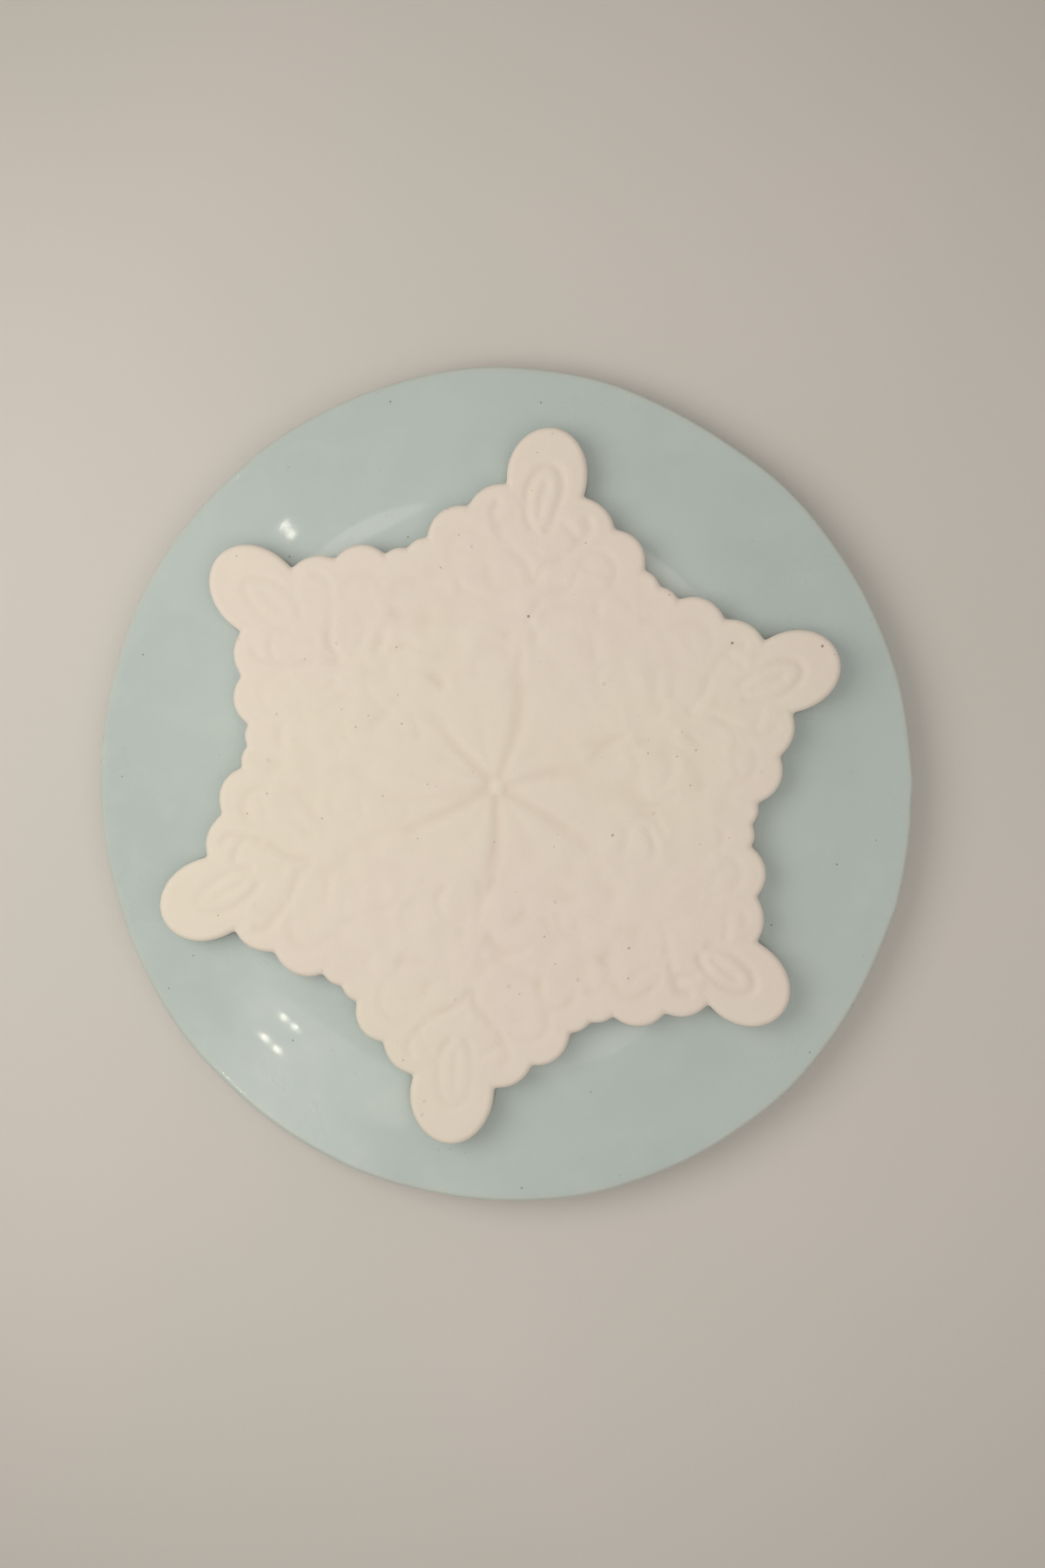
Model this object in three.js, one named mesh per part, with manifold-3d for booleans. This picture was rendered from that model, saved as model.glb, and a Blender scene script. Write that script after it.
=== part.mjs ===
// Snowflake casting mould: a round, hand-poured block of silicone rubber with a snowflake cavity in its
// top face, and the casting that it makes, lying face up over the cavity.
//
// Millimetres, +Z up. The origin is the centre of the block's underside, and one cavity arm points along +Y.

import * as THREE from 'three';
import { mergeVertices } from 'three/addons/utils/BufferGeometryUtils.js';
import Module from 'manifold-3d';

const wasm = await Module();
wasm.setup();

const { degToRad } = THREE.MathUtils;

// ---------------------------------------------------------------------------------------------------
// Driving dimensions
// ---------------------------------------------------------------------------------------------------

// The snowflake, which is the plan of both the cavity and the casting.
const armCount = 6;
const armReach = 65.3;              // centre to tip
const tipWidth = 14.8;
const tipLength = 17.6;
const cavityDepth = 5.5;
const faceChamfer = 0.8;            // along the edge of the relief face
const cavityCentre = new THREE.Vector2(-0.95, -0.25);

// The scallops from each tip to the valley beside it: how far each centre lies nearer the middle than
// the tip's, how far round from the arm it is turned, and its radius.
const scallops = [
  { back: 8.4, turn: degToRad(8.6), radius: 6.2 },
  { back: 11.3, turn: degToRad(17.9), radius: 5.75 },
  { back: 13.0, turn: degToRad(26.9), radius: 3.3 },
];

// The block of rubber around the cavity. It was poured in a ring that is a little out of round.
const rimWall = 9.7;                // from the arms' tips to the block's mean edge
const floorThickness = 3;           // under the cavity
const blockOutOfRound = 4;          // long axis minus short axis
const longAxisTurn = degToRad(20);  // of the block's long axis, anticlockwise from +Y
const footChamfer = 0.6;
const rimRadius = 1.4;

// A low ring swells out of the block's top face, around the cavity.
const swellHeight = 0.5;
const swellInset = 21;              // from the block's mean edge to the crest
const swellHalfWidth = 13;

// The relief, which is cut into the casting's face and stands up from the cavity's floor.
const reliefDepth = 0.6;
const strokeWidth = 1.9;
const hubStrokeStart = 3.5;         // from the snowflake's centre
const armStrokeLength = 15;
const valleyStrokeLength = 10;

// A curl is part of an ellipse: how far its centre lies across from the arm's axis and back from the
// tip's centre, its half width and half length, and the angles from +X where it starts and ends.
const petalLoop = {
  across: 0, back: 4.5, halfWidth: 3.6, halfLength: 6.5, from: degToRad(-65), to: degToRad(245),
};
const sideCurl = {
  across: 5.6, back: 9.6, halfWidth: 3.4, halfLength: 4, from: degToRad(-100), to: degToRad(110),
};

// The casting, as it lies on the mould.
const castShrinkage = 0.003;        // smaller than the cavity by this share
const castShift = new THREE.Vector2(-0.1, -0.05);
const castTurn = degToRad(-0.4);
const restGap = 0.3;

// ---------------------------------------------------------------------------------------------------
// Sizes worked out from them
// ---------------------------------------------------------------------------------------------------

const blockRadius = armReach + rimWall;
const blockHeight = cavityDepth + floorThickness;
const swellCrestRadius = blockRadius - swellInset;
const tipCentre = armReach - tipLength / 2;
const armStep = 2 * Math.PI / armCount;
const strokeRadius = (strokeWidth ** 2 / 4 + reliefDepth ** 2) / (2 * reliefDepth);
const castBase = blockHeight + swellHeight + restGap;

// ---------------------------------------------------------------------------------------------------
// Helpers
// ---------------------------------------------------------------------------------------------------

// A closed geometry as a solid that can be joined and cut.
function solidOf(geometry) {
  const bare = geometry.clone();
  bare.deleteAttribute('normal');
  bare.deleteAttribute('uv');
  const merged = mergeVertices(bare, 1e-4);
  return new wasm.Manifold(new wasm.Mesh({
    numProp: 3,
    vertProperties: Float32Array.from(merged.attributes.position.array),
    triVerts: Uint32Array.from(merged.index.array),
  }));
}

// A solid back as a geometry with flat faces.
function geometryOf(solid) {
  const mesh = solid.getMesh();
  const geometry = new THREE.BufferGeometry();
  geometry.setAttribute('position', new THREE.BufferAttribute(mesh.vertProperties, 3));
  geometry.setIndex(new THREE.BufferAttribute(mesh.triVerts, 1));
  const flat = geometry.toNonIndexed();
  flat.computeVertexNormals();
  return flat;
}

// The point at a distance from the snowflake's centre, turned clockwise from +Y.
function polarPoint(distance, turn) {
  return new THREE.Vector2(distance * Math.sin(turn), distance * Math.cos(turn));
}

// A lathed geometry stands along +Y when three.js makes it; this stands it along +Z.
function latheUpright(profile, segments) {
  return new THREE.LatheGeometry(profile, segments).rotateX(Math.PI / 2);
}

// One copy of a geometry on each arm. With sides of [1, -1] each copy has its mirror image beside it.
function onEveryArm(place, sides = [1]) {
  const copies = [];
  for (let arm = 0; arm < armCount; arm += 1) {
    for (const side of sides) {
      copies.push(place(side).rotateZ(-arm * armStep));
    }
  }
  return copies;
}

// ---------------------------------------------------------------------------------------------------
// The snowflake body, from its flat back at z = 0 up to its relief face
// ---------------------------------------------------------------------------------------------------

// A flat round bead with a chamfered upper edge; the snowflake's edge is a row of them.
function bead(radius, height) {
  const profile = [
    new THREE.Vector2(0, 0),
    new THREE.Vector2(radius, 0),
    new THREE.Vector2(radius, height - faceChamfer),
    new THREE.Vector2(radius - faceChamfer, height),
    new THREE.Vector2(0, height),
  ];
  const segments = 4 * Math.round(radius / 2 + 1);
  return latheUpright(profile, segments);
}

// The plate inside the beads, with its corners at their centres.
function corePlate(height) {
  const corners = [];
  for (let arm = 0; arm < armCount; arm += 1) {
    const armTurn = arm * armStep;
    corners.push(polarPoint(tipCentre, armTurn));
    for (const { back, turn } of scallops) {
      corners.push(polarPoint(tipCentre - back, armTurn + turn));
    }
    for (const { back, turn } of [...scallops].reverse()) {
      corners.push(polarPoint(tipCentre - back, armTurn + armStep - turn));
    }
  }
  return new THREE.ExtrudeGeometry(new THREE.Shape(corners), { depth: height, bevelEnabled: false });
}

function snowflakeBody(height) {
  const tip = () => bead(tipWidth / 2, height)
    .scale(1, tipLength / tipWidth, 1)
    .translate(0, tipCentre, 0);
  const scallop = ({ back, turn, radius }) => (side) => {
    const centre = polarPoint(tipCentre - back, side * turn);
    return bead(radius, height).translate(centre.x, centre.y, 0);
  };
  const beads = [
    ...onEveryArm(tip),
    ...scallops.flatMap((size) => onEveryArm(scallop(size), [1, -1])),
  ];
  return beads.reduce((body, geometry) => body.add(solidOf(geometry)), solidOf(corePlate(height)));
}

// ---------------------------------------------------------------------------------------------------
// The relief, as solids that are cut out of a face at z = 0
// ---------------------------------------------------------------------------------------------------

const reliefAxisHeight = strokeRadius - reliefDepth;

// A spindle-shaped stroke that starts near the hub and runs straight out.
function hubStroke(length, turn) {
  return new THREE.SphereGeometry(1, 6, 6)
    .rotateX(Math.PI / 2)
    .scale(strokeRadius, length / 2, strokeRadius)
    .translate(0, hubStrokeStart + length / 2, reliefAxisHeight)
    .rotateZ(-turn);
}

// A curl with a round section, on one side of the arm or the other.
function curl({ across, back, halfWidth, halfLength, from, to }, side = 1) {
  const steps = Math.ceil((to - from) / degToRad(35));
  const arc = new THREE.EllipseCurve(0, 0, halfWidth, halfLength, from, to);
  const path = new THREE.CatmullRomCurve3(
    arc.getPoints(steps).map(({ x, y }) => new THREE.Vector3(side * x, y, 0)),
  );
  const section = new THREE.Shape(new THREE.Path().absarc(0, 0, strokeRadius, 0, 2 * Math.PI).getPoints(3));
  return new THREE.ExtrudeGeometry(section, { extrudePath: path, steps, bevelEnabled: false })
    .translate(side * across, tipCentre - back, reliefAxisHeight);
}

function reliefCutters() {
  const armStroke = () => hubStroke(armStrokeLength, 0);
  const valleyStroke = () => hubStroke(valleyStrokeLength, armStep / 2);
  return [
    ...onEveryArm(armStroke),
    ...onEveryArm(valleyStroke),
    ...onEveryArm(() => curl(petalLoop)),
    ...onEveryArm((side) => curl(sideCurl, side), [1, -1]),
  ];
}

// The whole snowflake, with its relief cut into its face.
function snowflake(height) {
  return reliefCutters().reduce(
    (body, geometry) => body.subtract(solidOf(geometry.translate(0, 0, height))),
    snowflakeBody(height),
  );
}

// ---------------------------------------------------------------------------------------------------
// The two pieces
// ---------------------------------------------------------------------------------------------------

// Half the section of the block, from the middle of its underside round to the middle of its top.
function blockProfile() {
  const profile = [
    new THREE.Vector2(0, 0),
    new THREE.Vector2(blockRadius - footChamfer, 0),
    new THREE.Vector2(blockRadius, footChamfer),
  ];
  const rimSteps = 2;
  for (let step = 0; step <= rimSteps; step += 1) {
    const lift = (step / rimSteps) * (Math.PI / 2);
    profile.push(new THREE.Vector2(
      blockRadius - rimRadius + rimRadius * Math.cos(lift),
      blockHeight - rimRadius + rimRadius * Math.sin(lift),
    ));
  }
  const swellSteps = 6;
  for (let step = 0; step <= swellSteps; step += 1) {
    const across = 1 - 2 * step / swellSteps;
    profile.push(new THREE.Vector2(
      swellCrestRadius + across * swellHalfWidth,
      blockHeight + swellHeight * (1 + Math.cos(across * Math.PI)) / 2,
    ));
  }
  profile.push(new THREE.Vector2(0, blockHeight));
  return profile;
}

function blockSolid() {
  const stretch = blockOutOfRound / (4 * blockRadius);
  const geometry = latheUpright(blockProfile(), 72)
    .scale(1 - stretch, 1 + stretch, 1)
    .rotateZ(longAxisTurn);
  return solidOf(geometry);
}

// The casting upside down with its back level with the top face, and its back carried on up through the
// swell, is the space that the cavity leaves.
function cavitySolid() {
  const passThrough = swellHeight + 1;
  const casting = snowflake(cavityDepth + passThrough);
  return casting
    .rotate([0, 180, 0])
    .translate([cavityCentre.x, cavityCentre.y, blockHeight + passThrough]);
}

function siliconeMould() {
  const material = new THREE.MeshStandardMaterial({ color: 0xa9bdb9, roughness: 0.42, metalness: 0 });
  const mesh = new THREE.Mesh(geometryOf(blockSolid().subtract(cavitySolid())), material);
  mesh.name = 'silicone_mould';
  return mesh;
}

function castSnowflake() {
  const material = new THREE.MeshStandardMaterial({ color: 0xe6dac8, roughness: 0.8, metalness: 0 });
  const mesh = new THREE.Mesh(geometryOf(snowflake(cavityDepth)), material);
  mesh.name = 'cast_snowflake';
  mesh.scale.setScalar(1 - castShrinkage);
  mesh.rotation.z = castTurn;
  mesh.position.set(cavityCentre.x + castShift.x, cavityCentre.y + castShift.y, castBase);
  return mesh;
}

const mouldWithCasting = new THREE.Group();
mouldWithCasting.add(siliconeMould(), castSnowflake());

export default mouldWithCasting;
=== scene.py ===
"""Looks of the snowflake casting mould: a round silicone block with a snowflake cavity, and the casting
that lies face up on it. Both are hand-made, so outlines and faces are a little uneven.

Lengths inside this script are millimetres, and become metres when a mesh is made. Snowflake places are
given beside an arm: how far across from the arm's axis, and how far along it from the centre.
"""

import math

import bpy
import numpy as np
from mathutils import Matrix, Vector


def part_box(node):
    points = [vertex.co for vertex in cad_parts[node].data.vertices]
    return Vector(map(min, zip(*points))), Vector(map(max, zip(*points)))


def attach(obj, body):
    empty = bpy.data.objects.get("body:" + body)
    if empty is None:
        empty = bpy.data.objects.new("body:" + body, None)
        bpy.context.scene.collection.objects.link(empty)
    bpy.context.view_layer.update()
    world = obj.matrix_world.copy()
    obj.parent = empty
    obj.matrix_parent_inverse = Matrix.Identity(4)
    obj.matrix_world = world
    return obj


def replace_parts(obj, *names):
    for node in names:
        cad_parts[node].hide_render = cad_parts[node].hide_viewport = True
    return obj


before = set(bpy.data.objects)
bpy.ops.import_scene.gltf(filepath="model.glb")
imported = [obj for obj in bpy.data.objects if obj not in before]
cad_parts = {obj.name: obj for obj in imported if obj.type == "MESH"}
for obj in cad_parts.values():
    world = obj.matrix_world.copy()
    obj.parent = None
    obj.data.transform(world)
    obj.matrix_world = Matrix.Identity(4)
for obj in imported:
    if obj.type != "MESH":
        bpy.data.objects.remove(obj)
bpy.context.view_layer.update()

MM = 0.001


def node_box(node):
    """A CAD node's lowest and highest corners, in millimetres."""
    low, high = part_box(node)
    return np.array(low) / MM, np.array(high) / MM


# -----------------------------------------------------------------------------------------------------
# Sizes: places and heights come from the frame, the shapes' own proportions are below
# -----------------------------------------------------------------------------------------------------

MOULD_LOW, MOULD_HIGH = node_box("silicone_mould")
CAST_LOW, CAST_HIGH = node_box("cast_snowflake")

# The snowflake's plan. The neck and the scallops are discs: how far out their centre lies, how far it is
# turned from the arm in degrees, and their radius.
ARM_STEP = math.radians(60)
ARM_REACH = 65.3
TIP_HALF_WIDTH = 7.4
TIP_HALF_LENGTH = 8.8
TIP_CENTRE = ARM_REACH - TIP_HALF_LENGTH
CORE_RADIUS = 45.0
NECK = (46.0, 0.0, 7.0)
SCALLOPS = [(48.1, 8.6, 6.2), (45.2, 17.9, 5.75), (43.5, 26.9, 3.3), (43.5, 33.1, 3.3)]
NOTCH_BLEND = 0.35          # rounds off the corners between two discs
OUTLINE_WANDER = 0.28       # how far the hand-made outline strays
WANDER_WAVELENGTH = 26

# The casting.
CAST_CENTRE = (CAST_LOW + CAST_HIGH)[:2] / 2
CAST_TURN = math.radians(-0.4)
CAST_SCALE = (CAST_HIGH - CAST_LOW)[1] / 2 / ARM_REACH
CAST_BASE = CAST_LOW[2]
CAST_TOP = CAST_HIGH[2]
CAST_EDGE = 1.15            # radius of the edge round the relief
BACK_EDGE = 0.25
CAST_SPACING = 0.42         # of the points of its face
# Its wall, downwards: how far in from the outline and how high.
CAST_WALL = [
    (-0.02, CAST_TOP - 2.6),
    (0.03, CAST_BASE + 1.6),
    (0.06, CAST_BASE + BACK_EDGE),
    (0.12, CAST_BASE + 0.3 * BACK_EDGE),
    (BACK_EDGE, CAST_BASE),
]

# The block, an ellipse.
SWELL_HEIGHT = 0.5
BLOCK_TOP = MOULD_HIGH[2] - SWELL_HEIGHT
BLOCK_RADIUS = (MOULD_HIGH - MOULD_LOW)[:2].mean() / 2
HALF_OUT_OF_ROUND = 1.0
LONG_AXIS_TURN = math.radians(20)
RIM_EDGE = 0.7
SWELL_INSET = 21
SWELL_CREST = BLOCK_RADIUS - SWELL_INSET
SWELL_HALF_WIDTH = 13.0
BLOCK_SPACING = 0.62
# Its side, which flares out a little towards the foot.
BLOCK_SIDE = [
    (-0.1, 0.6 * BLOCK_TOP),
    (-0.2, 0.35 * BLOCK_TOP),
    (-0.3, 0.9),
    (-0.2, 0.35),
    (0.2, 0),
]

# The cavity, which lies right under the casting. Its wall leans in, and its foot is rounded off.
CAVITY_DEPTH = CAST_TOP - CAST_BASE
CAVITY_FLOOR = BLOCK_TOP - CAVITY_DEPTH
LIP_WIDTH = 0.2
LIP_DROP = 0.15
CAVITY_EDGE = 0.9
CAVITY_LEAN = 0.1
FLOOR_SEAM = 0.15
FLOOR_SPACING = 0.55
CAVITY_WALL = [
    (CAVITY_LEAN / 2, BLOCK_TOP - LIP_DROP - 0.8),
    (CAVITY_LEAN, CAVITY_FLOOR + CAVITY_EDGE),
]


# -----------------------------------------------------------------------------------------------------
# Small helpers
# -----------------------------------------------------------------------------------------------------

def waviness(x, y, wavelength, seed, waves=9):
    """Smooth random hills, mostly between -1 and 1: sine waves that run in every direction."""
    dice = np.random.default_rng(seed)
    total = np.zeros(np.shape(x))
    for _ in range(waves):
        heading = dice.uniform(0, 2 * math.pi)
        phase = dice.uniform(0, 2 * math.pi)
        rate = 2 * math.pi / (wavelength * dice.uniform(0.7, 1.5))
        total += np.sin((x * math.cos(heading) + y * math.sin(heading)) * rate + phase)
    return total / math.sqrt(2 * waves)


def polar(distance, degrees):
    """A place at a distance from the centre, turned clockwise from +Y."""
    turn = math.radians(degrees)
    return np.array([distance * math.sin(turn), distance * math.cos(turn)])


def turned(x, y, turn):
    """Points turned anticlockwise about the origin."""
    return x * math.cos(turn) - y * math.sin(turn), x * math.sin(turn) + y * math.cos(turn)


def smooth_union(fields, blend):
    """The largest of the fields, rounded off where two of them meet."""
    fields = np.stack(fields) / blend
    top = fields.max(axis=0)
    return blend * (top + np.log(np.exp(fields - top).sum(axis=0)))


def hump(distance, half_width):
    """A bell that is 1 at no distance and fades out past its half width."""
    return np.exp(-(distance / half_width) ** 2)


# -----------------------------------------------------------------------------------------------------
# Outlines, as fields that are positive inside and grow by a millimetre per millimetre
# -----------------------------------------------------------------------------------------------------

def beside_arm(x, y):
    """A point's place beside its nearest arm, as (across, along), with the arm's two sides as one."""
    distance = np.hypot(x, y)
    turn = np.arctan2(x, y)
    turn = np.abs(turn - ARM_STEP * np.round(turn / ARM_STEP))
    return distance * np.sin(turn), distance * np.cos(turn)


def ellipse_inside(x, y, half_x, half_y):
    """How far inside an ellipse about the origin."""
    nudge = 1e-6
    ring = np.hypot(x / half_x, y / half_y) + nudge
    slope = np.hypot(x / half_x ** 2, y / half_y ** 2) + nudge / half_x
    return ring * (1 - ring) / slope


def snowflake_inside(x, y):
    """How far inside the snowflake's outline."""
    wander_x = OUTLINE_WANDER * waviness(x, y, WANDER_WAVELENGTH, seed=3)
    wander_y = OUTLINE_WANDER * waviness(x, y, WANDER_WAVELENGTH, seed=4)
    across, along = beside_arm(x + wander_x, y + wander_y)
    fields = [
        CORE_RADIUS - np.hypot(across, along),
        ellipse_inside(across, along - TIP_CENTRE, TIP_HALF_WIDTH, TIP_HALF_LENGTH),
    ]
    for distance, degrees, radius in [NECK, *SCALLOPS]:
        centre = polar(distance, degrees)
        fields.append(radius - np.hypot(across - centre[0], along - centre[1]))
    return smooth_union(fields, NOTCH_BLEND)


def cavity_place(x, y):
    """A point of the block as a point of the snowflake that lies over it."""
    return turned(x - CAST_CENTRE[0], y - CAST_CENTRE[1], -CAST_TURN)


def cavity_inside(x, y):
    return snowflake_inside(*cavity_place(x, y))


# Where the block's edge leaves its ellipse: degrees clockwise of +Y, half width in degrees, how far out.
RIM_KINKS = [(81, 1.6, 0.12), (84.5, 1.5, -0.15), (99, 2, 0.12)]
RIM_FLAT = (22, 11, -0.75)
RIM_BULGES = [(125, 14, 0.3), (-15, 9, 0.45)]
# Ripples all the way round: how many, their phase and how far out.
RIM_RIPPLES = [(5, 1, 0.1), (11, 2, 0.07), (23, 0, 0.04)]
RIM_ALL_ROUND = 0.15


def rim_unevenness(x, y):
    """How far the block's edge stands out from its ellipse: a flat, bulges, kinks and small ripples."""
    clockwise = np.degrees(np.arctan2(x, y))
    bearing = np.radians(clockwise)
    out = np.full(np.shape(x), RIM_ALL_ROUND)
    for count, phase, height in RIM_RIPPLES:
        out += height * np.sin(count * bearing + phase)
    for degrees, half_width, height in [*RIM_KINKS, RIM_FLAT, *RIM_BULGES]:
        away = (clockwise - degrees + 180) % 360 - 180
        out += height * hump(away, half_width)
    return out


def block_inside(x, y):
    """How far inside the block's edge."""
    along_x, along_y = turned(x, y, -LONG_AXIS_TURN)
    half_x = BLOCK_RADIUS - HALF_OUT_OF_ROUND
    half_y = BLOCK_RADIUS + HALF_OUT_OF_ROUND
    return ellipse_inside(along_x, along_y, half_x, half_y) + rim_unevenness(x, y)


def on_level(inside, points, level):
    """The points moved the short way onto the line where a field has a given level."""
    points = points.copy()
    step = 0.01
    for _ in range(5):
        x, y = points.T
        value = inside(x, y)
        slope_x = (inside(x + step, y) - inside(x - step, y)) / (2 * step)
        slope_y = (inside(x, y + step) - inside(x, y - step)) / (2 * step)
        square = np.maximum(slope_x ** 2 + slope_y ** 2, 0.3)
        move = (level - value) / square
        points += np.stack([move * slope_x, move * slope_y], axis=1)
    return points


# -----------------------------------------------------------------------------------------------------
# Surfaces: lattices of small triangles, with skirts of quads hung from their rims
# -----------------------------------------------------------------------------------------------------

NEAR_OUTLINE = 0.33
RING_EASING = 4


def lattice(reach, spacing):
    """The points of a triangular lattice over a square, and its triangles."""
    row_step = spacing * math.sqrt(3) / 2
    rows = math.ceil(reach / row_step)
    columns = math.ceil(reach / spacing) + 1
    row, column = np.mgrid[-rows:rows + 1, -columns:columns + 1]
    points = np.stack([(column + (row % 2) / 2) * spacing, row * row_step], axis=-1).reshape(-1, 2)
    number = np.arange(row.size).reshape(row.shape)
    a, b = number[:-1, :-1], number[:-1, 1:]
    c, d = number[1:, :-1], number[1:, 1:]
    odd = (row[:-1, :-1] % 2).astype(bool)
    even_pairs = [(a, b, c), (b, d, c)]
    odd_pairs = [(a, d, c), (a, b, d)]
    triangles = [np.stack([corner[~odd] for corner in pair], axis=1) for pair in even_pairs]
    triangles += [np.stack([corner[odd] for corner in pair], axis=1) for pair in odd_pairs]
    return points, np.concatenate(triangles)


def clipped(mixed, side, count):
    """Triangles cut off at the outline. Returns the new triangles and the edges that were cut."""
    cuts = {}
    pieces = []
    for triangle in mixed.tolist():
        kept = []
        for here, there in zip(triangle, triangle[1:] + triangle[:1]):
            if side[here] >= 0:
                kept.append(here)
            if side[here] * side[there] < 0:
                edge = (min(here, there), max(here, there))
                kept.append(cuts.setdefault(edge, count + len(cuts)))
        pieces += [(kept[0], kept[k], kept[k + 1]) for k in range(1, len(kept) - 1)]
    return np.array(pieces), np.array(list(cuts))


def filled(inside, reach, spacing):
    """Points and triangles that fill the place where a field is positive."""
    points, triangles = lattice(reach, spacing)
    value = inside(*points.T)
    near = np.abs(value) < NEAR_OUTLINE * spacing
    points[near] = on_level(inside, points[near], 0)
    side = np.sign(value)
    side[near] = 0
    lowest = side[triangles].min(axis=1)
    highest = side[triangles].max(axis=1)
    on_outline = (lowest == 0) & (highest == 0)
    middles = points[triangles[on_outline]].mean(axis=1)
    on_outline[on_outline] = inside(*middles.T) > 0
    whole = triangles[((lowest >= 0) & (highest > 0)) | on_outline]
    pieces, edges = clipped(triangles[(lowest < 0) & (highest > 0)], side, len(points))
    start, end = value[edges[:, 0]], value[edges[:, 1]]
    share = (start / (start - end))[:, None]
    crossing = points[edges[:, 0]] * (1 - share) + points[edges[:, 1]] * share
    points = np.concatenate([points, on_level(inside, crossing, 0)])
    triangles = np.concatenate([whole, pieces])
    used, triangles = np.unique(triangles, return_inverse=True)
    return points[used], triangles.reshape(-1, 3)


def eased(loop):
    """The places of a loop's points, each moved towards the middle of its two neighbours."""
    return (np.roll(loop, 1, axis=0) + 2 * loop + np.roll(loop, -1, axis=0)) / 4


def rims(triangles):
    """The loops of edges that only one triangle has, each with its surface on the left."""
    edges = np.concatenate([triangles[:, [0, 1]], triangles[:, [1, 2]], triangles[:, [2, 0]]])
    known = set(map(tuple, edges.tolist()))
    after = {a: b for a, b in known if (b, a) not in known}
    loops = []
    while after:
        start = next(iter(after))
        loop = [start]
        here = after.pop(start)
        while here != start:
            loop.append(here)
            here = after.pop(here)
        loops.append(np.array(loop))
    return loops


class Shell:
    """A mesh while it is being put together."""

    def __init__(self):
        self.points = np.zeros((0, 3))
        self.faces = []

    def add(self, plan, height):
        """Adds points from their plan places and heights, and returns their numbers."""
        first = len(self.points)
        height = np.broadcast_to(height, len(plan))
        self.points = np.concatenate([self.points, np.column_stack([plan, height])])
        return np.arange(first, first + len(plan))

    def add_patch(self, plan, triangles, height, upward=True):
        numbers = self.add(plan, height)
        faces = numbers[triangles]
        self.faces += faces.tolist() if upward else faces[:, ::-1].tolist()
        return numbers

    def hang(self, loop, inside, rings):
        """Hangs rings of quads from a loop. Each ring is a level of the field and a height. The points
        run together in the outline's notches, so each ring's points are eased apart again."""
        for level, height in rings:
            plan = on_level(inside, self.points[loop, :2], level)
            for _ in range(RING_EASING):
                plan = on_level(inside, eased(plan), level)
            ring = self.add(plan, height(*plan.T) if callable(height) else height)
            quads = [np.roll(loop, -1), loop, ring, np.roll(ring, -1)]
            self.faces += np.stack(quads, axis=1).tolist()
            loop = ring
        return loop

    def cap(self, loop):
        """Closes a loop with one flat face that looks down."""
        self.faces.append(loop[::-1].tolist())

    def zip_up(self, ring, rim):
        """Joins two loops that lie side by side but have different numbers of points."""
        rim = rim[::-1]
        nearest = np.linalg.norm(self.points[rim] - self.points[ring[0]], axis=1).argmin()
        rim = np.roll(rim, -nearest)
        i, j = 0, 0
        while i < len(ring) or j < len(rim):
            here, there = ring[i % len(ring)], rim[j % len(rim)]
            next_here, next_there = ring[(i + 1) % len(ring)], rim[(j + 1) % len(rim)]
            by_ring = np.linalg.norm(self.points[next_here] - self.points[there])
            by_rim = np.linalg.norm(self.points[next_there] - self.points[here])
            if j == len(rim) or (i < len(ring) and by_ring < by_rim):
                self.faces.append([next_here, here, there])
                i += 1
            else:
                self.faces.append([there, next_there, here])
                j += 1

    def finished(self, name, material):
        """The mesh as a smooth object, with creases at its sharp edges."""
        mesh = bpy.data.meshes.new(name)
        mesh.from_pydata((self.points * MM).tolist(), [], self.faces)
        mesh.polygons.foreach_set("use_smooth", [True] * len(mesh.polygons))
        mesh.set_sharp_from_angle(angle=math.radians(50))
        mesh.materials.append(material)
        piece = bpy.data.objects.new(name, mesh)
        bpy.context.scene.collection.objects.link(piece)
        return piece


def rounded_over(width, drop, steps=6):
    """A quarter-round edge as (how far in from the outline, how far down) pairs, from the top."""
    lifts = [math.pi / 2 * step / steps for step in range(1, steps + 1)]
    return [(width * (1 - math.sin(lift)), drop * (1 - math.cos(lift))) for lift in lifts]


# -----------------------------------------------------------------------------------------------------
# The relief: soft grooves with raised shoulders
# -----------------------------------------------------------------------------------------------------

def arc(across, along, half_width, half_length, start, end, steps=18):
    """Part of an ellipse, from one angle to another, in degrees anticlockwise from across."""
    angles = np.radians(np.linspace(start, end, steps + 1))
    return np.stack([across + half_width * np.cos(angles), along + half_length * np.sin(angles)], axis=1)


def through(*places, steps=7):
    """A smooth curve through some places."""
    places = np.array(places, float)
    padded = np.concatenate([2 * places[:1] - places[1:2], places, 2 * places[-1:] - places[-2:-1]])
    share = np.linspace(0, 1, steps, endpoint=False)[:, None]
    curve = []
    for a, b, c, d in zip(padded, padded[1:], padded[2:], padded[3:]):
        bend = 2 * a - 5 * b + 4 * c - d
        twist = 3 * (b - c) + d - a
        curve.append(b + 0.5 * share * (c - a + share * (bend + share * twist)))
    return np.concatenate(curve + [places[-1:]])


def distance_to(curve, across, along):
    """How far points are from a curve."""
    nearest = np.full(np.shape(across), np.inf)
    for (ax, ay), (bx, by) in zip(curve, curve[1:]):
        dx, dy = bx - ax, by - ay
        share = ((across - ax) * dx + (along - ay) * dy) / (dx * dx + dy * dy)
        share = np.clip(share, 0, 1)
        nearest = np.minimum(nearest, np.hypot(across - ax - share * dx, along - ay - share * dy))
    return nearest


def groove(distance, half_width, depth):
    """A groove's height: a soft channel between two low, wider shoulders."""
    channel = hump(distance, half_width)
    shoulders = hump(distance, 2.3 * half_width)
    return depth * (0.4 * shoulders - 1.15 * channel)


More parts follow.
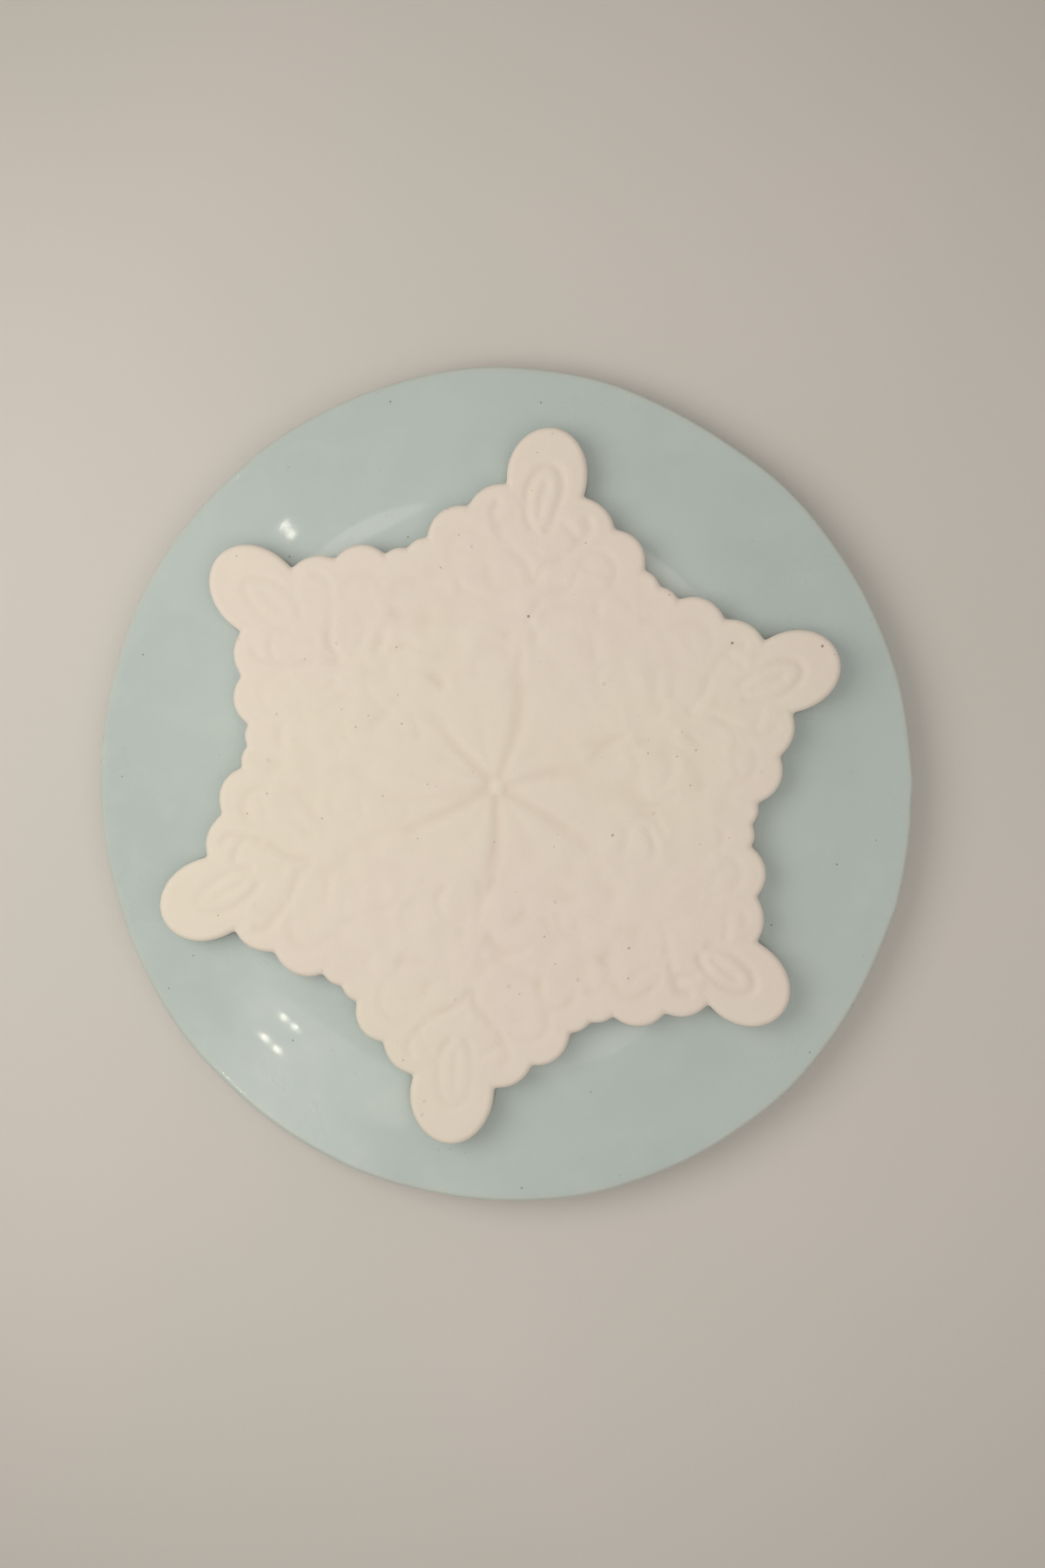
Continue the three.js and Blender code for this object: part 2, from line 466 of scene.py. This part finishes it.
# Beside each arm: a curve, the groove's half width and its depth.
ARM_GROOVES = [
    (arc(0.1, 52.4, 3.0, 6.0, -62, 118), 0.85, 0.32),
    (arc(0.1, 52.4, 3.0, 6.0, 118, 215), 0.8, 0.22),
    (through((0, 54.6), (0.15, 52.0), (-0.2, 49.6)), 0.8, 0.26),
    (through((8.4, 50.0), (9.0, 48.2), (7.3, 45.0), (4.6, 42.2), (1.8, 40.0), (0.3, 37.2)), 0.95, 0.28),
    (through((4.6, 48.8), (5.9, 47.9), (7.0, 46.6)), 0.85, 0.22),
    (arc(0, 47, 4.4, 4.8, -128, -90), 0.9, 0.16),
    (arc(11.7, 40.9, 3.5, 3.6, -30, 135), 0.95, 0.18),
    (through((9.0, 41.4), (11.2, 40.6), (13.2, 40.9)), 0.9, 0.13),
]

# Nearer the middle, where the relief is fainter.
INNER_GROOVES = [
    (through((12.6, 34.6), (8.4, 33.4), (4.0, 31.2)), 1.1, 0.19),
    (arc(6.6, 25.6, 4.3, 4.2, 10, 165), 1.15, 0.24),
    (through((2.4, 27.4), (1.2, 30.2), (2.4, 32.6)), 1.0, 0.15),
    (arc(4.3, 21.4, 3.6, 3.4, -30, 120), 1.05, 0.17),
    (through((0, 24.2), (0.1, 20.6), (1.6, 17.4)), 0.95, 0.15),
    (arc(15.6, 34.2, 3.2, 3.4, 20, 190), 1.0, 0.17),
    (through((4.2, 35.2), (6.8, 36.4), (8.0, 39.0)), 0.9, 0.15),
    (through((12.4, 28.6), (13.2, 25.4), (11.8, 22.8)), 1.1, 0.18),
]

# Beside each arm: the centre of a low boss, its half width and its height.
ARM_BOSSES = [
    ((0, 51.2), 2.6, 0.2),
    ((9.1, 27.2), 3.4, 0.2),
    ((11.9, 40.2), 2.2, 0.14),
    ((6.1, 49.6), 2.0, 0.16),
    ((0, 32.4), 1.7, 0.14),
    ((4.2, 22.6), 2.2, 0.1),
    ((3.0, 44.6), 2.4, 0.1),
    ((0, 41.0), 2.8, 0.1),
]

# Round the hub: how far a stroke is turned clockwise from the first arm, its reach, bend and depth.
HUB_CENTRE = np.array([-0.3, -0.3])
HUB_START = 2
HUB_STROKES = [
    (5, 23, -2.6, 0.36),
    (68, 17, 1.2, 0.30),
    (113, 19.5, 0.8, 0.36),
    (175.5, 21, 1.4, 0.40),
    (236, 22, 0.7, 0.34),
    (307, 18, 0.8, 0.38),
    (254, 23, 1.5, 0.20),
    (144, 18, 1.2, 0.12),
    (266, 17, 1.0, 0.12),
    (336, 17, 1.3, 0.12),
    (35, 15, -1.0, 0.10),
    (95, 13, 0.8, 0.08),
    (205, 16, 1.0, 0.12),
    (290, 16, 1.2, 0.16),
]

# The ring in which the pattern has lost its edges.
WORN_RADIUS = 30
WORN_HALF_WIDTH = 6
WORN_FADE = 8

RELIEF_FADE = 1.5


def arm_relief(x, y):
    """The relief that repeats on every arm. It wanders a little, and no two arms are equally sharp."""
    wander_x = 0.55 * waviness(x, y, 17, seed=11)
    wander_y = 0.55 * waviness(x, y, 17, seed=12)
    across, along = beside_arm(x + wander_x, y + wander_y)
    sharpness = np.clip(0.85 + 0.45 * waviness(x, y, 27, seed=13), 0.25, 1.35)
    patches = np.clip(0.75 + 0.8 * waviness(x, y, 13, seed=14), 0, 1.5)
    height = np.zeros(np.shape(x))
    for grooves, strength in ((ARM_GROOVES, sharpness), (INNER_GROOVES, sharpness * patches)):
        for curve, half_width, depth in grooves:
            height += strength * groove(distance_to(curve, across, along), half_width, depth)
    for (boss_across, boss_along), half_width, rise in ARM_BOSSES:
        height += sharpness * rise * hump(np.hypot(across - boss_across, along - boss_along), half_width)
    return height


def hub_relief(x, y):
    """Strokes that run out from the hub like a flower's folds. Each starts a little way out, widens as it
    goes and fades over its outer half."""
    x, y = x - HUB_CENTRE[0], y - HUB_CENTRE[1]
    distance = np.hypot(x, y)
    height = np.zeros(np.shape(x))
    for degrees, reach, bend, depth in HUB_STROKES:
        outward = polar(1, degrees)
        sideways = polar(1, degrees + 90)
        stroke = through(
            outward * HUB_START,
            outward * (0.5 * reach) - sideways * bend * 0.3,
            outward * (0.8 * reach) + sideways * bend * 0.2,
            outward * reach + sideways * bend,
        )
        half_width = 0.85 + 0.035 * distance
        fade = np.clip((reach + HUB_START - distance) / (0.5 * reach), 0, 1)
        height -= 0.85 * fade * depth * hump(distance_to(stroke, x, y), half_width)
    return height


def worn_middle(x, y):
    """Small shapeless hills between the hub and the arms, where the pattern has lost its edges."""
    past_ring = np.abs(np.hypot(x, y) - WORN_RADIUS) - WORN_HALF_WIDTH
    ring = hump(np.clip(past_ring, 0, None), WORN_FADE)
    small_hills = 0.09 * waviness(x, y, 6, seed=15, waves=30)
    broad_hills = 0.05 * waviness(x, y, 10, seed=16, waves=20)
    return ring * (small_hills + broad_hills)


def snowflake_relief(x, y):
    """The whole relief, which fades out at the outline."""
    inset = snowflake_inside(x, y) - CAST_EDGE
    fade = np.clip(inset / RELIEF_FADE, 0, 1)
    slow_hills = 0.08 * waviness(x, y, 34, seed=21) + 0.035 * waviness(x, y, 11, seed=22)
    softly = fade * fade * (3 - 2 * fade)
    return softly * (arm_relief(x, y) + hub_relief(x, y) + worn_middle(x, y) + slow_hills)


# -----------------------------------------------------------------------------------------------------
# The block's upper face
# -----------------------------------------------------------------------------------------------------

# The width over which the hills die out towards the rim.
FLAT_RIM = 6


def block_face(x, y):
    """The height of the block's upper face, where a low ring swells round the cavity."""
    across = np.clip((np.hypot(x, y) - SWELL_CREST) / SWELL_HALF_WIDTH, -1, 1)
    swell = SWELL_HEIGHT * (1 + np.cos(across * math.pi)) / 2
    clear_of_rim = np.clip(block_inside(x, y) / FLAT_RIM, 0, 1)
    hills = 0.035 * waviness(x, y, 48, seed=31) + 0.003 * waviness(x, y, 16, seed=32)
    return BLOCK_TOP + swell + clear_of_rim * hills


# -----------------------------------------------------------------------------------------------------
# Materials
# -----------------------------------------------------------------------------------------------------

class Nodes:
    """A short way to write a material's nodes."""

    def __init__(self, name):
        self.material = bpy.data.materials.new(name)
        self.material.use_nodes = True
        self.tree = self.material.node_tree
        self.shader = self.tree.nodes["Principled BSDF"]
        coordinates = self.tree.nodes.new("ShaderNodeTexCoord")
        self.place = coordinates.outputs["Object"]

    def link(self, output, socket):
        self.tree.links.new(output, socket)

    def noise(self, scale, detail=3, roughness=0.55, distortion=0.0):
        node = self.tree.nodes.new("ShaderNodeTexNoise")
        node.inputs["Scale"].default_value = scale
        node.inputs["Detail"].default_value = detail
        node.inputs["Roughness"].default_value = roughness
        node.inputs["Distortion"].default_value = distortion
        self.link(self.place, node.inputs["Vector"])
        return node.outputs["Fac"]

    def specks(self, scale, size, share, shift):
        """Scattered round specks: 1 in the middle of a speck and 0 away from it. Only a share of the cells
        has one, and the shift makes one kind of specks fall elsewhere than another."""
        moved = self.tree.nodes.new("ShaderNodeVectorMath")
        moved.inputs[1].default_value = (shift, 2 * shift, 3 * shift)
        self.link(self.place, moved.inputs[0])
        cells = self.tree.nodes.new("ShaderNodeTexVoronoi")
        cells.inputs["Scale"].default_value = scale
        self.link(moved.outputs[0], cells.inputs["Vector"])
        near = self.ranged(cells.outputs["Distance"], size, 0.4 * size, 0, 1)
        dice = self.red_of(cells.outputs["Color"])
        chosen = self.ranged(dice, 1 - share, 1 - share + 0.001, 0, 1)
        return self.math("MULTIPLY", near, chosen)

    def red_of(self, colour):
        node = self.tree.nodes.new("ShaderNodeSeparateColor")
        self.link(colour, node.inputs["Color"])
        return node.outputs["Red"]

    def distance(self):
        """How far a point is from the object's origin, in metres."""
        node = self.tree.nodes.new("ShaderNodeVectorMath")
        node.operation = "LENGTH"
        self.link(self.place, node.inputs[0])
        return node.outputs["Value"]

    def attribute(self, name):
        node = self.tree.nodes.new("ShaderNodeAttribute")
        node.attribute_name = name
        return node.outputs["Fac"]

    def ranged(self, value, low, high, to_low, to_high):
        """A value moved from one range to another, with a soft start and end."""
        node = self.tree.nodes.new("ShaderNodeMapRange")
        node.interpolation_type = "SMOOTHSTEP"
        for socket, number in zip(list(node.inputs)[1:5], (low, high, to_low, to_high)):
            socket.default_value = number
        self.link(value, node.inputs["Value"])
        return node.outputs["Result"]

    def math(self, operation, first, second):
        node = self.tree.nodes.new("ShaderNodeMath")
        node.operation = operation
        for socket, value in zip(node.inputs, (first, second)):
            if isinstance(value, (int, float)):
                socket.default_value = value
            else:
                self.link(value, socket)
        return node.outputs[0]

    def mixed(self, share, first, second):
        """A colour between two colours; each is either three numbers or a node's colour."""
        node = self.tree.nodes.new("ShaderNodeMix")
        node.data_type = "RGBA"
        self.link(share, node.inputs["Factor"])
        for socket, colour in ((node.inputs[6], first), (node.inputs[7], second)):
            if isinstance(colour, tuple):
                socket.default_value = (*colour, 1)
            else:
                self.link(colour, socket)
        return node.outputs[2]

    def bumps(self, *layers):
        """Stacked bumps, each a height and how far up its top stands, in metres."""
        normal = None
        for height, rise in layers:
            node = self.tree.nodes.new("ShaderNodeBump")
            node.inputs["Distance"].default_value = rise
            self.link(height, node.inputs["Height"])
            if normal is not None:
                self.link(normal, node.inputs["Normal"])
            normal = node.outputs["Normal"]
        self.link(normal, self.shader.inputs["Normal"])

    def coat_bump(self, height, rise):
        """A fine grain of its own for the glossy skin, which breaks up what it mirrors."""
        node = self.tree.nodes.new("ShaderNodeBump")
        node.inputs["Distance"].default_value = rise
        self.link(height, node.inputs["Height"])
        self.link(node.outputs["Normal"], self.shader.inputs["Coat Normal"])

    def set(self, **values):
        for name, value in values.items():
            self.shader.inputs[name.replace("_", " ")].default_value = value


def silicone_material():
    """Pale blue-green silicone rubber: satin, faintly see-through, with dust, pinholes and lint, and
    painted light at its edge.
    """
    n = Nodes("silicone_rubber")
    teal, paler = (0.515, 0.63, 0.65), (0.56, 0.67, 0.69)
    cloudy = n.mixed(n.ranged(n.noise(22), 0.3, 0.7, 0, 1), teal, paler)
    # Painted light: a paler, warmer band along the block's edge, for light that shows through the rubber
    # there.
    painted_edge_light = n.mixed(n.attribute("rim"), cloudy, (0.60, 0.63, 0.59))
    milky = n.mixed(n.ranged(n.noise(140, detail=4), 0.45, 0.75, 0, 0.25), painted_edge_light, (0.64, 0.73, 0.72))
    dust = n.specks(290, size=0.075, share=0.2, shift=4.7)
    dusty = n.mixed(n.math("MULTIPLY", dust, 0.75), milky, (0.17, 0.18, 0.17))
    lint = n.specks(330, size=0.08, share=0.14, shift=9.1)
    colour = n.mixed(n.math("MULTIPLY", lint, 0.5), dusty, (0.86, 0.88, 0.86))
    n.link(colour, n.shader.inputs["Base Color"])
    smears = n.ranged(n.noise(55, detail=5, distortion=0.6), 0.35, 0.7, 0.27, 0.38)
    n.link(smears, n.shader.inputs["Roughness"])
    n.bumps(
        (n.noise(90, detail=2), 0.00005),
        (n.noise(900, detail=4), 0.000022),
        (n.noise(5200, detail=2), 0.000004),
        (n.specks(420, size=0.11, share=0.10, shift=2.3), 0.00006),
        (lint, 0.00005),
    )
    n.coat_bump(n.noise(1500, detail=2), 0.0000015)
    n.set(IOR=1.41, Subsurface_Weight=0.22, Subsurface_Scale=0.004)
    n.set(Subsurface_Radius=(0.8, 1.0, 0.95), Coat_Weight=0.12, Coat_Roughness=0.05)
    return n.material


def resin_material():
    """Warm cream cast resin: matt and chalky, with pinholes and dark specks, and painted shade in its
    grooves.
    """
    n = Nodes("cast_resin")
    cream, pink = (0.885, 0.85, 0.765), (0.885, 0.818, 0.775)
    warm = n.mixed(n.ranged(n.noise(20, detail=2), 0.35, 0.65, 0, 1), cream, pink)
    mottled = n.mixed(n.ranged(n.noise(160, detail=5), 0.4, 0.72, 0, 0.35), warm, (0.90, 0.86, 0.80))
    # Painted shade: the relief's grooves are painted darker and pinker, where shade falls in them.
    painted_groove_shade = n.mixed(n.attribute("painted_groove_shade"), mottled, (0.78, 0.69, 0.61))
    dark = n.specks(190, size=0.07, share=0.16, shift=1.9)
    darkened = n.mixed(n.math("MULTIPLY", dark, 0.8), painted_groove_shade, (0.24, 0.17, 0.13))
    fine = n.specks(360, size=0.08, share=0.42, shift=6.4)
    colour = n.mixed(n.math("MULTIPLY", fine, 0.75), darkened, (0.42, 0.34, 0.28))
    n.link(colour, n.shader.inputs["Base Color"])
    n.link(n.ranged(n.noise(240, detail=4), 0.3, 0.7, 0.62, 0.8), n.shader.inputs["Roughness"])
    pits = n.math("SUBTRACT", 1.0, n.specks(330, size=0.12, share=0.12, shift=3.1))
    n.bumps(
        (n.noise(300, detail=4), 0.00012),
        (n.noise(2400, detail=4), 0.00003),
        (pits, 0.00012),
    )
    n.set(IOR=1.46, Subsurface_Weight=0.12, Subsurface_Scale=0.0025)
    n.set(Subsurface_Radius=(1.0, 0.8, 0.6), Sheen_Weight=0.05)
    return n.material


def floor_material():
    """Pale matt paper, with painted shade that darkens it away from the block."""
    n = Nodes("pale_paper")
    grey, pinker = (0.70, 0.70, 0.695), (0.725, 0.715, 0.715)
    clouds = n.mixed(n.ranged(n.noise(9, detail=2), 0.35, 0.65, 0, 1), grey, pinker)
    # Painted shade: the paper is painted darker from 0.10 m to 0.24 m out, as the light falls off.
    colour = n.mixed(n.ranged(n.distance(), 0.10, 0.24, 0, 1), clouds, (0.61, 0.605, 0.60))
    n.link(colour, n.shader.inputs["Base Color"])
    n.link(n.ranged(n.noise(500), 0.3, 0.7, 0.75, 0.9), n.shader.inputs["Roughness"])
    n.bumps((n.noise(1500, detail=5), 0.00004))
    n.set(IOR=1.4)
    return n.material


def store(piece, name, values):
    """Keeps a number for each of a mesh's points, for its material to read."""
    attribute = piece.data.attributes.new(name, "FLOAT", "POINT")
    attribute.data.foreach_set("value", np.asarray(values, np.float32))


# -----------------------------------------------------------------------------------------------------
# The two pieces
# -----------------------------------------------------------------------------------------------------

def cast_snowflake():
    """The casting: a relief face, a rounded edge, a wall that leans in a little, and a flat back."""
    def face_inside(x, y):
        return snowflake_inside(x, y) - CAST_EDGE

    plan, triangles = filled(face_inside, ARM_REACH + 1, CAST_SPACING)
    relief = snowflake_relief(*plan.T)
    shell = Shell()
    numbers = shell.add_patch(plan, triangles, CAST_TOP + relief)
    (rim,) = rims(triangles)
    rings = [(inset, CAST_TOP - drop) for inset, drop in rounded_over(CAST_EDGE, CAST_EDGE)]
    back = shell.hang(numbers[rim], snowflake_inside, rings + CAST_WALL)
    shell.cap(back)
    x, y = turned(*shell.points[:, :2].T, CAST_TURN)
    shell.points[:, :2] = np.stack([x, y], axis=1) * CAST_SCALE + CAST_CENTRE
    piece = shell.finished("relief_snowflake", resin_material())
    # Painted shade for the grooves: the deeper a point of the relief lies, the more of it it gets.
    painted_groove_shade = np.zeros(len(shell.points))
    painted_groove_shade[numbers] = 0.42 * np.clip(-relief / 0.30, 0, 1) ** 1.2
    store(piece, "painted_groove_shade", painted_groove_shade)
    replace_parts(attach(piece, "casting"), "cast_snowflake")
    return piece


def cavity_fillet():
    """The rounded foot of the cavity's wall, which stops a seam's width short of the floor's patch."""
    width = CAVITY_EDGE - CAVITY_LEAN - FLOOR_SEAM
    lifts = (0.4, 0.8, 1.2, math.pi / 2)
    return [(CAVITY_LEAN + width * (1 - math.cos(lift)), CAVITY_FLOOR + CAVITY_EDGE * (1 - math.sin(lift)))
            for lift in lifts]


def silicone_mould():
    """The block: its face with the cavity's lip, its flared side, and the cavity's wall and floor."""
    def face_inside(x, y):
        return np.minimum(block_inside(x, y) - RIM_EDGE, -cavity_inside(x, y) - LIP_WIDTH)

    def floor_inside(x, y):
        return cavity_inside(x, y) - CAVITY_EDGE

    def lip_height(drop):
        return lambda x, y: block_face(x, y) - drop

    shell = Shell()
    plan, triangles = filled(face_inside, BLOCK_RADIUS + 2, BLOCK_SPACING)
    numbers = shell.add_patch(plan, triangles, block_face(*plan.T))
    outer, inner = sorted(rims(triangles), key=len, reverse=True)
    if np.hypot(*plan[outer].T).mean() < np.hypot(*plan[inner].T).mean():
        outer, inner = inner, outer

    rim_rings = [(inset, lip_height(drop)) for inset, drop in rounded_over(RIM_EDGE, RIM_EDGE)]
    foot = shell.hang(numbers[outer], block_inside, rim_rings + BLOCK_SIDE)
    shell.cap(foot)

    lip_rings = [(-inset, lip_height(drop)) for inset, drop in rounded_over(LIP_WIDTH, LIP_DROP)]
    wall_foot = shell.hang(numbers[inner], cavity_inside, lip_rings + CAVITY_WALL + cavity_fillet())

    plan, triangles = filled(floor_inside, ARM_REACH + 2, FLOOR_SPACING)
    x, y = cavity_place(*plan.T)
    relief = snowflake_relief(-x, y)
    floor = shell.add_patch(plan, triangles, CAVITY_FLOOR - relief)
    (floor_rim,) = rims(triangles)
    shell.zip_up(wall_foot, floor[floor_rim])

    piece = shell.finished("poured_silicone_block", silicone_material())
    x, y = shell.points[:, :2].T
    # Painted light at the edge: how much of the paler, warmer band each point gets, fading over 1.6 mm in
    # from the edge.
    store(piece, "rim", np.clip(1 - block_inside(x, y) / 1.6, 0, 1) * 0.5)
    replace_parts(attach(piece, "mould"), "silicone_mould")
    return piece


# -----------------------------------------------------------------------------------------------------
# Camera, light and floor
# -----------------------------------------------------------------------------------------------------

# A spot of the block's face is how far from its middle it lies and how many degrees clockwise of +Y.
CAMERA_ROLL = math.radians(8.38)
CAMERA_HEIGHT = 330.0
FRAME_WIDTH = 190.8
CAMERA_ASIDE = (3.0, 0.16)
BULB_GLINTS = ((58.6, 215.4), (58.5, 212.6))
GLINT_DISTANCE = 640.0
FLOOR_RADIUS = 6000.0
FLOOR_CORNER_STEP = 5
FLOOR_GAP = 0.05
WARM = (1.0, 0.915, 0.805)


def add_camera():
    """Straight above, a little to the right of the block's middle, and turned about its own line."""
    data = bpy.data.cameras.new("camera")
    data.sensor_fit = "HORIZONTAL"
    data.lens = data.sensor_width * CAMERA_HEIGHT / FRAME_WIDTH
    data.clip_start = 0.01
    camera = bpy.data.objects.new("camera", data)
    x, y = turned(*CAMERA_ASIDE, CAMERA_ROLL)
    camera.location = Vector((x, y, BLOCK_TOP + CAMERA_HEIGHT)) * MM
    camera.rotation_euler = (0, 0, CAMERA_ROLL)
    bpy.context.scene.collection.objects.link(camera)
    bpy.context.scene.camera = camera
    return camera


def add_light(name, place, size, power):
    """A round soft light, in millimetres and watts, that faces the block's middle."""
    data = bpy.data.lights.new(name, "AREA")
    data.shape = "DISK"
    data.size = size * MM
    data.energy = power
    data.color = WARM
    lamp = bpy.data.objects.new(name, data)
    lamp.location = Vector(place) * MM
    facing = Vector((0, 0, BLOCK_TOP)) - Vector(place)
    lamp.rotation_euler = facing.to_track_quat("-Z", "Y").to_euler()
    bpy.context.scene.collection.objects.link(lamp)
    return lamp


def add_broad_light(name, place, size, power):
    """A light that shades the pieces and throws soft shadows, but doesn't show in the gloss."""
    add_light(name, place, size, power).visible_glossy = False


def mirrored_from(camera, spot, distance):
    """Where a lamp has to be for the camera to see it mirrored in a spot of the block's face."""
    step = 0.05
    x, y = spot
    slope_x = (block_face(x + step, y) - block_face(x - step, y)) / (2 * step)
    slope_y = (block_face(x, y + step) - block_face(x, y - step)) / (2 * step)
    point = Vector((x, y, float(block_face(x, y))))
    normal = Vector((-float(slope_x), -float(slope_y), 1)).normalized()
    sight = (point - camera.location / MM).normalized()
    return point + sight.reflect(normal) * distance


def add_glint(name, camera, spot, size, power, stretch=1):
    """A lamp that only shows as a glint, where the camera sees it mirrored in a spot of the block. The
    swell squeezes what it mirrors, so the small lamps are stretched to make up for part of it."""
    lamp = add_light(name, mirrored_from(camera, spot, GLINT_DISTANCE), size, power)
    lamp.visible_diffuse = False
    lamp.data.shape = "ELLIPSE"
    lamp.data.size_y = stretch * size * MM


def add_lights(camera):
    """Two broad lights, and the lamps and windows that the rubber mirrors."""
    add_broad_light("fill_left", (*polar(170, 272), 250), size=220, power=0.33)
    add_broad_light("panel_right", (*polar(150, 125), 430), size=300, power=0.23)
    add_glint("lamp_upper_left", camera, polar(60.1, 311), size=4, power=0.02, stretch=2)
    add_glint("glow_upper_left", camera, polar(53.2, 321), size=70, power=0.14)
    for distance, clockwise in BULB_GLINTS:
        add_glint("bulb", camera, polar(distance, clockwise), size=3, power=0.03, stretch=4)
    add_glint("glow_lower_left", camera, polar(59.5, 206), size=150, power=0.34)
    add_glint("glow_below", camera, polar(51, 159), size=70, power=0.08)
    add_glint("glow_upper_right", camera, polar(47, 28.7), size=34, power=0.04)


def add_world():
    """An even, warm dome of light."""
    world = bpy.data.worlds.new("studio")
    world.use_nodes = True
    background = world.node_tree.nodes["Background"]
    background.inputs["Color"].default_value = (*WARM, 1)
    background.inputs["Strength"].default_value = 0.41
    bpy.context.scene.world = world


def add_floor():
    """A wide round sheet, just under the block."""
    mesh = bpy.data.meshes.new("floor")
    turns = range(0, -360, -FLOOR_CORNER_STEP)
    corners = [Vector((*polar(FLOOR_RADIUS, degrees), -FLOOR_GAP)) * MM for degrees in turns]
    mesh.from_pydata(corners, [], [range(len(corners))])
    mesh.materials.append(floor_material())
    floor = bpy.data.objects.new("floor", mesh)
    bpy.context.scene.collection.objects.link(floor)


bpy.context.scene.view_settings.view_transform = "Standard"
camera = add_camera()
silicone_mould()
cast_snowflake()
add_world()
add_lights(camera)
add_floor()

bpy.context.view_layer.update()
